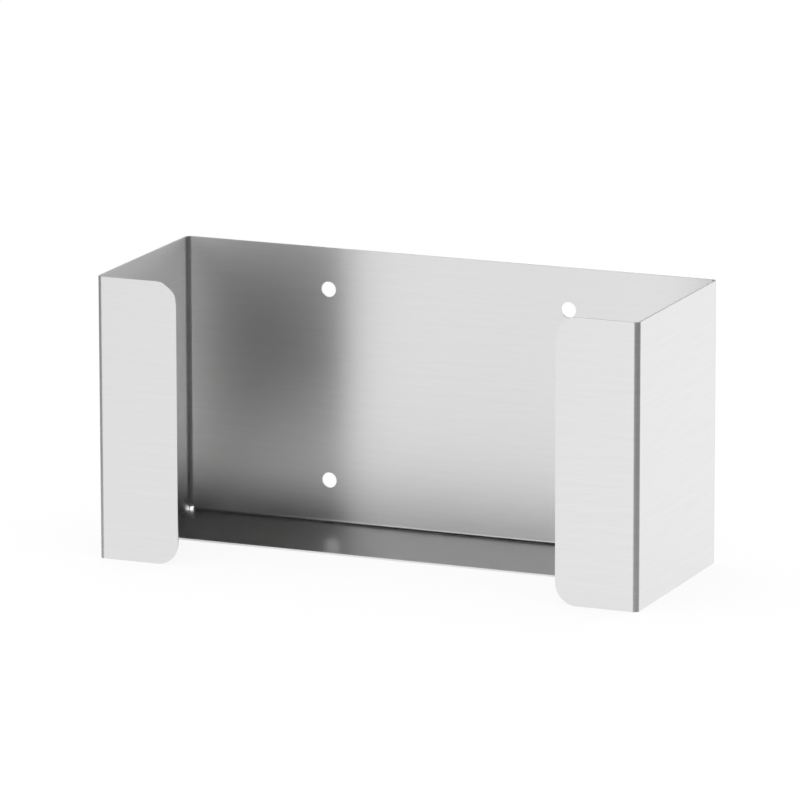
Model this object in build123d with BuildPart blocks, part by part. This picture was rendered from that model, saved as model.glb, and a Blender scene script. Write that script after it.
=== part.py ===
from build123d import *
import os

# Overall sizes, over the outside of the folded sheet
width = 254.0
depth = 96.0
height = 127.0

# Stainless sheet, and the inside radius that every fold is pressed to
sheet = 0.8
fold_inside_radius = 1.6

# Front flanges, folded inward from the two sides
flange_width = 38.0
flange_corner_radius = 10.0

# Shelf, folded forward from the foot of the back panel
shelf_depth = 52.0
shelf_side_gap = 0.15

# Reliefs at the two lower back corners, where an upright fold meets the shelf fold:
# a round-ended slot up through the foot of the upright fold, and a slit beside the shelf fold
relief_slot_width = 2.2
relief_slot_height = 2.2
relief_slot_offset = 0.6
relief_slit = 0.2
relief_past_fold = 0.2

# Screw holes in the back panel, a rectangle of four
hole_diameter = 7.0
hole_spacing_across = 115.0
hole_spacing_up = 87.5
lower_hole_height = 20.5

# Outside faces of the folded sheet; the origin is the centre of the base
side_x = width / 2
back_y = depth / 2
front_y = -depth / 2

# Centre of each upright back fold, and the height where the panel passes into the shelf fold
fold_outside_radius = fold_inside_radius + sheet
back_fold_x = side_x - fold_outside_radius
back_fold_y = back_y - fold_outside_radius
panel_foot_height = fold_outside_radius + relief_past_fold

with BuildPart() as dispenser_body:
    # Upright run of sheet: back, sides and flanges are a rounded tube, open in front
    with BuildSketch(Plane.XY):
        RectangleRounded(width, depth, fold_outside_radius)
        offset(amount=-sheet, mode=Mode.SUBTRACT)
        with Locations((0, front_y)):
            Rectangle(width - 2 * flange_width, 2 * fold_outside_radius, mode=Mode.SUBTRACT)
    extrude(amount=height)

    # Free corners of both flanges
    flange_corners = dispenser_body.edges().filter_by(Axis.Y).group_by(Axis.Y)[0]
    fillet(flange_corners, radius=flange_corner_radius)

    # Foot of the back panel, cut away between the upright folds
    with BuildSketch(Plane.XY):
        with Locations((0, back_fold_y)):
            Rectangle(2 * back_fold_x, 2 * fold_outside_radius, align=(Align.CENTER, Align.MIN))
    extrude(amount=panel_foot_height, mode=Mode.SUBTRACT)

    # Round-ended slot through the foot of each upright back fold, square to its corner
    for side in (-1, 1):
        corner = Plane(
            origin=(side * back_fold_x, back_fold_y, 0),
            x_dir=(-side, 1, 0),
            z_dir=(side, 1, 0),
        )
        with BuildSketch(corner):
            with Locations((relief_slot_offset, 0)):
                SlotOverall(2 * relief_slot_height, relief_slot_width, rotation=90)
        extrude(amount=2 * fold_outside_radius, mode=Mode.SUBTRACT)

    # Shelf fold, which stops short of the upright folds by a slit at each end
    shelf_fold_half = back_fold_x - relief_slit
    shelf_back_y = back_fold_y - relief_past_fold
    panel_inner_y = back_y - sheet
    with BuildSketch(Plane.YZ) as fold_section:
        with BuildLine():
            Polyline(
                (shelf_back_y, 0),
                (back_y, 0),
                (back_y, panel_foot_height),
                (panel_inner_y, panel_foot_height),
                (panel_inner_y, sheet),
                (shelf_back_y, sheet),
                close=True,
            )
        make_face()
        outer_corner = fold_section.vertices().sort_by_distance((back_y, 0))[0]
        fillet(outer_corner, radius=fold_outside_radius)
        inner_corner = fold_section.vertices().sort_by_distance((panel_inner_y, sheet))[0]
        fillet(inner_corner, radius=fold_inside_radius)
    extrude(amount=shelf_fold_half, both=True)

    # Shelf plate, which fills the space between the sides but for the gap at each end
    shelf_front_y = back_y - shelf_depth
    shelf_half_width = side_x - sheet - shelf_side_gap
    with BuildSketch(Plane.XY):
        with Locations((0, shelf_front_y)):
            Rectangle(
                2 * shelf_half_width,
                shelf_back_y - shelf_front_y,
                align=(Align.CENTER, Align.MIN),
            )
    extrude(amount=sheet)

    # Screw holes through the back panel
    hole_pattern_height = lower_hole_height + hole_spacing_up / 2
    wall_face = Plane(origin=(0, back_y, hole_pattern_height), x_dir=(1, 0, 0), z_dir=(0, 1, 0))
    with Locations(wall_face):
        with GridLocations(hole_spacing_across, hole_spacing_up, 2, 2):
            Hole(hole_diameter / 2, depth=sheet)

dispenser_body.part.label = "dispenser_body"

os.makedirs("parts", exist_ok=True)
export_step(dispenser_body.part, "parts/dispenser_body.step")
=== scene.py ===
import bpy
import bmesh
from math import cos, pi, radians, sin
from mathutils import Matrix


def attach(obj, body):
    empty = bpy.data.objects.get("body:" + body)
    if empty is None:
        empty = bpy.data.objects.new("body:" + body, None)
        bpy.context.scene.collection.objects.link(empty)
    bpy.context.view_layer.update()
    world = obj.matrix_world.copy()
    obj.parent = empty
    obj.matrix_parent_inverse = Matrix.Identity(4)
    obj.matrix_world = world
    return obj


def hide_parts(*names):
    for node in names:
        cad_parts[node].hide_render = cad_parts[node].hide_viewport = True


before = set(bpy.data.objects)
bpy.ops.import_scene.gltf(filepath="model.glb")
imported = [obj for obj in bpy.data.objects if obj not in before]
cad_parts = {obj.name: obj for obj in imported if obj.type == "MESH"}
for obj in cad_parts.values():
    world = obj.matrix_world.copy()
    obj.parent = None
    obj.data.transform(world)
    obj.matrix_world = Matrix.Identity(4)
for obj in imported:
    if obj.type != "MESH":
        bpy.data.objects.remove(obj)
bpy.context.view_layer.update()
print("frame loaded")


# Short ways to add a node and to do sums with sockets or numbers

def addNode(tree, kind, **settings):
    node = tree.nodes.new(kind)
    for name, value in settings.items():
        setattr(node, name, value)
    return node


def mathNode(tree, operation, first, second=None, clamp=False):
    node = addNode(tree, "ShaderNodeMath", operation=operation, use_clamp=clamp)
    for socket, value in zip(node.inputs, (first, second)):
        if value is None:
            continue
        if isinstance(value, (int, float)):
            socket.default_value = value
        else:
            tree.links.new(value, socket)
    return node.outputs[0]


# Brushed stainless sheet
steelValues = {
    "colour": (0.85, 0.85, 0.848),
    "roughness": 0.34,
    "anisotropy": 0.76,
    "foldRoughness": 0.85,     # across an upright fold the stretched grain scatters more
    "foldAnisotropy": 0.2,
    "shelfFoldRoughness": 0.3,  # the shelf's fold runs with the grain and is burnished
    "shelfFoldAnisotropy": 0.0,
    "foldTilt": 0.03,          # how far a normal leaves its panel's before it counts as a fold
    "colourSwing": 0.085,       # how far the brushing lightens and darkens the metal
    "roughnessSwing": 0.06,
    "fineLines": 2600.0,       # brush lines to the metre, across the grain
    "coarseLines": 420.0,
    "lineLength": 0.022,       # metres that a fine line runs along the grain
    "coarseStretch": 2.0,      # coarse lines run this many times longer
    "fineDetail": 2.0,
    "coarseDetail": 3.0,
    "lineRoughness": 0.6,
    "lineDepth": 0.000004,
    "shelfFacing": 0.7,        # a surface that faces up or down more than this is shelf
}


def makeBrushedSteel(values):
    material = bpy.data.materials.new("brushedSteel")
    material.use_nodes = True
    tree = material.node_tree
    links = tree.links
    shader = tree.nodes["Principled BSDF"]
    shader.inputs["Metallic"].default_value = 1.0

    # Tangent runs across the grain: up on the walls, front to back on the shelf
    geometry = addNode(tree, "ShaderNodeNewGeometry")
    normalParts = addNode(tree, "ShaderNodeSeparateXYZ")
    links.new(geometry.outputs["Normal"], normalParts.inputs[0])
    facingUp = mathNode(tree, "ABSOLUTE", normalParts.outputs["Z"])
    across = addNode(tree, "ShaderNodeCombineXYZ")
    links.new(facingUp, across.inputs["Y"])
    links.new(mathNode(tree, "SUBTRACT", 1.0, facingUp), across.inputs["Z"])
    links.new(across.outputs[0], shader.inputs["Tangent"])

    # A fold is where the normal points along none of the three axes
    flatness = mathNode(tree, "MAXIMUM", mathNode(tree, "ABSOLUTE", normalParts.outputs["X"]),
                        mathNode(tree, "ABSOLUTE", normalParts.outputs["Y"]))
    flatness = mathNode(tree, "MAXIMUM", flatness, facingUp)
    fold = mathNode(tree, "SUBTRACT", 1.0, flatness)
    fold = mathNode(tree, "DIVIDE", fold, values["foldTilt"], clamp=True)
    shelfFold = mathNode(tree, "MULTIPLY", fold,
                         mathNode(tree, "GREATER_THAN", facingUp, values["foldTilt"]))

    def byRegion(onPanel, onUprightFold, onShelfFold):
        result = onPanel
        for region, value in ((fold, onUprightFold), (shelfFold, onShelfFold)):
            mix = addNode(tree, "ShaderNodeMix", data_type="FLOAT")
            links.new(region, mix.inputs["Factor"])
            if isinstance(result, float):
                mix.inputs["A"].default_value = result
            else:
                links.new(result, mix.inputs["A"])
            mix.inputs["B"].default_value = value
            result = mix.outputs["Result"]
        return result

    links.new(byRegion(values["anisotropy"], values["foldAnisotropy"],
                       values["shelfFoldAnisotropy"]), shader.inputs["Anisotropic"])

    # The sheet's own across direction: height on the upright panels, depth on the shelf
    place = addNode(tree, "ShaderNodeTexCoord")
    parts = addNode(tree, "ShaderNodeSeparateXYZ")
    links.new(place.outputs["Object"], parts.inputs[0])
    onShelf = mathNode(tree, "GREATER_THAN", facingUp, values["shelfFacing"])
    onPanels = mathNode(tree, "SUBTRACT", 1.0, onShelf)
    depthAlong = mathNode(tree, "MULTIPLY", parts.outputs["Y"], onPanels)
    heightAcross = mathNode(tree, "MULTIPLY", parts.outputs["Z"], onPanels)
    depthAcross = mathNode(tree, "MULTIPLY", parts.outputs["Y"], onShelf)
    acrossPlace = mathNode(tree, "ADD", heightAcross, depthAcross)
    sheetPlace = addNode(tree, "ShaderNodeCombineXYZ")
    links.new(parts.outputs["X"], sheetPlace.inputs["X"])
    links.new(depthAlong, sheetPlace.inputs["Y"])
    links.new(acrossPlace, sheetPlace.inputs["Z"])

    # Noise squeezed across the grain and drawn out along it
    def streaks(linesPerMetre, lineLength, detail):
        along = 1.0 / lineLength
        squeeze = addNode(tree, "ShaderNodeMapping")
        squeeze.inputs["Scale"].default_value = (along, along, linesPerMetre)
        links.new(sheetPlace.outputs[0], squeeze.inputs["Vector"])
        noise = addNode(tree, "ShaderNodeTexNoise")
        noise.inputs["Scale"].default_value = 1.0
        noise.inputs["Detail"].default_value = detail
        noise.inputs["Roughness"].default_value = values["lineRoughness"]
        links.new(squeeze.outputs[0], noise.inputs["Vector"])
        return mathNode(tree, "SUBTRACT", noise.outputs["Fac"], 0.5)

    coarseLength = values["lineLength"] * values["coarseStretch"]
    fine = streaks(values["fineLines"], values["lineLength"], values["fineDetail"])
    coarse = streaks(values["coarseLines"], coarseLength, values["coarseDetail"])
    brushing = mathNode(tree, "ADD", fine, coarse)

    roughness = mathNode(tree, "MULTIPLY", brushing, values["roughnessSwing"])
    panelRoughness = mathNode(tree, "ADD", roughness, values["roughness"], clamp=True)
    roughness = byRegion(panelRoughness, values["foldRoughness"], values["shelfFoldRoughness"])
    links.new(roughness, shader.inputs["Roughness"])

    shade = mathNode(tree, "MULTIPLY", brushing, values["colourSwing"])
    shade = mathNode(tree, "ADD", shade, 1.0)
    tint = addNode(tree, "ShaderNodeVectorMath", operation="SCALE")
    tint.inputs[0].default_value = values["colour"]
    links.new(shade, tint.inputs["Scale"])
    links.new(tint.outputs[0], shader.inputs["Base Color"])

    bump = addNode(tree, "ShaderNodeBump")
    bump.inputs["Strength"].default_value = 1.0
    bump.inputs["Distance"].default_value = values["lineDepth"]
    links.new(brushing, bump.inputs["Height"])
    links.new(bump.outputs[0], shader.inputs["Normal"])
    return material


brushedSteel = makeBrushedSteel(steelValues)
print("brushed steel made")

# The folded sheet, with its sheared edges broken
sheetValues = {
    "weldDistance": 1e-6,
    "flatAngle": radians(0.3),    # triangles closer than this to one plane become one face
    "shearedAngle": radians(40),  # edges sharper than this were sheared or punched
    "edgeBreak": 0.00005,
    "edgeBreakSegments": 2,
    "shadingWeight": 50,
}


def makeFoldedSheet(cadPiece, values):
    bm = bmesh.new()
    bm.from_mesh(cadPiece.data)
    bmesh.ops.remove_doubles(bm, verts=bm.verts, dist=values["weldDistance"])
    bmesh.ops.dissolve_limit(
        bm, angle_limit=values["flatAngle"], verts=bm.verts, edges=bm.edges
    )
    sheared = [
        edge for edge in bm.edges
        if edge.is_manifold and edge.calc_face_angle() > values["shearedAngle"]
    ]
    bmesh.ops.bevel(
        bm, geom=sheared, affect="EDGES", offset=values["edgeBreak"],
        offset_type="OFFSET", segments=values["edgeBreakSegments"],
        profile=0.5, material=-1, clamp_overlap=True,
    )
    for face in bm.faces:
        face.smooth = True
    mesh = bpy.data.meshes.new("foldedSheet")
    bm.to_mesh(mesh)
    bm.free()
    mesh.materials.append(brushedSteel)
    piece = bpy.data.objects.new("foldedSheet", mesh)
    bpy.context.collection.objects.link(piece)
    weighted = piece.modifiers.new("evenShading", "WEIGHTED_NORMAL")
    weighted.weight = values["shadingWeight"]
    return piece


foldedSheet = makeFoldedSheet(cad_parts["dispenser_body"], sheetValues)
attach(foldedSheet, "root")
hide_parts("dispenser_body")
print("folded sheet made:", len(foldedSheet.data.polygons), "faces")

cameraValues = {
    "position": (1.21081, -2.89109, 0.78760),
    "azimuth": radians(22.779),
    "elevation": radians(12.855),
    "roll": radians(-0.102),
    "lens": 329.9,
    "clipStart": 0.1,
    "clipEnd": 100.0,
}

cameraData = bpy.data.cameras.new("camera")
cameraData.lens = cameraValues["lens"]
cameraData.clip_start = cameraValues["clipStart"]
cameraData.clip_end = cameraValues["clipEnd"]
camera = bpy.data.objects.new("camera", cameraData)
bpy.context.collection.objects.link(camera)
turn = (
    Matrix.Rotation(cameraValues["azimuth"], 4, "Z")
    @ Matrix.Rotation(pi / 2 - cameraValues["elevation"], 4, "X")
    @ Matrix.Rotation(cameraValues["roll"], 4, "Z")
)
camera.matrix_world = Matrix.Translation(cameraValues["position"]) @ turn
bpy.context.scene.camera = camera

studioValues = {
    "floorColour": (0.8, 0.8, 0.8),
    "glowShare": 0.85,    # how much of the floor is plain white, the rest takes the shadow
    "glowStrength": 1.05,
    "floorSize": 30.0,
    "floorDrop": 0.0002,
}


def makeFloor(values):
    bm = bmesh.new()
    bmesh.ops.create_grid(bm, x_segments=1, y_segments=1, size=values["floorSize"] / 2)
    bmesh.ops.translate(bm, verts=bm.verts, vec=(0, 0, -values["floorDrop"]))
    mesh = bpy.data.meshes.new("floor")
    bm.to_mesh(mesh)
    bm.free()
    floor = bpy.data.objects.new("floor", mesh)
    bpy.context.collection.objects.link(floor)

    material = bpy.data.materials.new("paleFloor")
    material.use_nodes = True
    tree = material.node_tree
    tree.nodes.clear()
    output = addNode(tree, "ShaderNodeOutputMaterial")
    diffuse = addNode(tree, "ShaderNodeBsdfDiffuse")
    diffuse.inputs["Color"].default_value = (*values["floorColour"], 1)
    path = addNode(tree, "ShaderNodeLightPath")
    seen = mathNode(tree, "ADD", path.outputs["Is Camera Ray"], path.outputs["Is Glossy Ray"])
    seen = mathNode(tree, "ADD", seen, path.outputs["Is Transmission Ray"], clamp=True)
    glow = addNode(tree, "ShaderNodeEmission")
    glow.inputs["Strength"].default_value = values["glowStrength"]
    both = addNode(tree, "ShaderNodeMixShader")
    tree.links.new(mathNode(tree, "MULTIPLY", seen, values["glowShare"]), both.inputs[0])
    tree.links.new(diffuse.outputs[0], both.inputs[1])
    tree.links.new(glow.outputs[0], both.inputs[2])
    tree.links.new(both.outputs[0], output.inputs["Surface"])
    mesh.materials.append(material)
    return floor


floor = makeFloor(studioValues)

# A round light tent above the floor, which only the metal mirrors. Its panels lie over
# one another in this order. Azimuth runs from the front towards the right, elevation up
# from the horizon, soft is how wide a panel's edge fades, and all of them are in degrees.
tentValues = {
    "radius": 1.2,
    "centreHeight": 0.06,
    "step": 2.0,
    "openTone": 1.0,    # the background's own white
    "panels": {
        "whiteBehindLeft": {"azimuth": (-180, -107), "soft": 30, "elevation": (-90, 58),
                            "fade": 20, "tone": 1.0},
        "darkRoom": {"azimuth": (-116, 133), "soft": 16, "elevation": (-90, 90),
                     "fade": 10, "tone": 0.02},
        "greyRight": {"azimuth": (46, 90), "soft": 14, "elevation": (-90, 34),
                      "fade": 10, "tone": 0.17},
        "paleRight": {"azimuth": (84, 136), "soft": 14, "elevation": (-90, 34),
                      "fade": 10, "tone": 0.15},
        "greyLeft": {"azimuth": (-116, -66), "soft": 12, "elevation": (-90, 14),
                     "fade": 24, "tone": 0.22},
        "darkCeiling": {"azimuth": (-180, 180), "soft": 10, "elevation": (26, 90),
                        "fade": 7, "tone": 0.0},
        "softbox": {"azimuth": (-34, -1), "soft": 24, "elevation": (-27, 26),
                    "fade": 6, "tone": 1.4},
        "softboxGap": {"azimuth": (-22.4, -16.6), "soft": 3, "elevation": (-23, 25),
                       "fade": 9, "tone": 0.6},
        "stripBehind": {"azimuth": (-168, -150), "soft": 8, "elevation": (-55, 29),
                        "fade": 13, "tone": 1.35},
    },
}


def fadeIn(distance, width):
    share = min(max(distance / width + 0.5, 0.0), 1.0)
    return share * share * (3 - 2 * share)


def tentTone(azimuth, elevation, values):
    tone = values["openTone"]
    for panel in values["panels"].values():
        left, right = panel["azimuth"]
        low, high = panel["elevation"]
        cover = 1.0
        if left > -180:
            cover *= fadeIn(azimuth - left, panel["soft"])
        if right < 180:
            cover *= fadeIn(right - azimuth, panel["soft"])
        if low > -90:
            cover *= fadeIn(elevation - low, panel["fade"])
        if high < 90:
            cover *= fadeIn(high - elevation, panel["fade"])
        tone += (panel["tone"] - tone) * cover
    return tone


def makeTent(values):
    radius = values["radius"]
    step = values["step"]
    columns = round(360 / step)
    rows = round(180 / step)
    bm = bmesh.new()
    toneLayer = bm.verts.layers.float.new("tone")
    grid = []
    for row in range(rows + 1):
        elevation = -90 + step * row
        ring = []
        for column in range(columns + 1):
            azimuth = -180 + step * column
            level = cos(radians(elevation))
            corner = bm.verts.new((
                radius * sin(radians(azimuth)) * level,
                -radius * cos(radians(azimuth)) * level,
                radius * sin(radians(elevation)) + values["centreHeight"],
            ))
            corner[toneLayer] = tentTone(azimuth, elevation, values)
            ring.append(corner)
        grid.append(ring)
    for lower, upper in zip(grid, grid[1:]):
        for column in range(columns):
            bm.faces.new((lower[column], lower[column + 1], upper[column + 1], upper[column]))
    mesh = bpy.data.meshes.new("lightTent")
    bm.to_mesh(mesh)
    bm.free()
    tent = bpy.data.objects.new("lightTent", mesh)
    bpy.context.collection.objects.link(tent)

    material = bpy.data.materials.new("tentLight")
    material.use_nodes = True
    tree = material.node_tree
    tree.nodes.clear()
    output = addNode(tree, "ShaderNodeOutputMaterial")
    tone = addNode(tree, "ShaderNodeAttribute", attribute_name="tone")
    glow = addNode(tree, "ShaderNodeEmission")
    tree.links.new(tone.outputs["Fac"], glow.inputs["Strength"])
    tree.links.new(glow.outputs[0], output.inputs["Surface"])
    material.cycles.emission_sampling = "NONE"
    mesh.materials.append(material)
    tent.visible_camera = False
    tent.visible_diffuse = False
    tent.visible_shadow = False
    return tent


makeTent(tentValues)

world = bpy.data.worlds.new("studio")
bpy.context.scene.world = world
world.use_nodes = True
world.node_tree.nodes["Background"].inputs["Color"].default_value = (1, 1, 1, 1)
world.node_tree.nodes["Background"].inputs["Strength"].default_value = 1.0

bpy.context.scene.view_settings.view_transform = "Standard"
print("studio made")
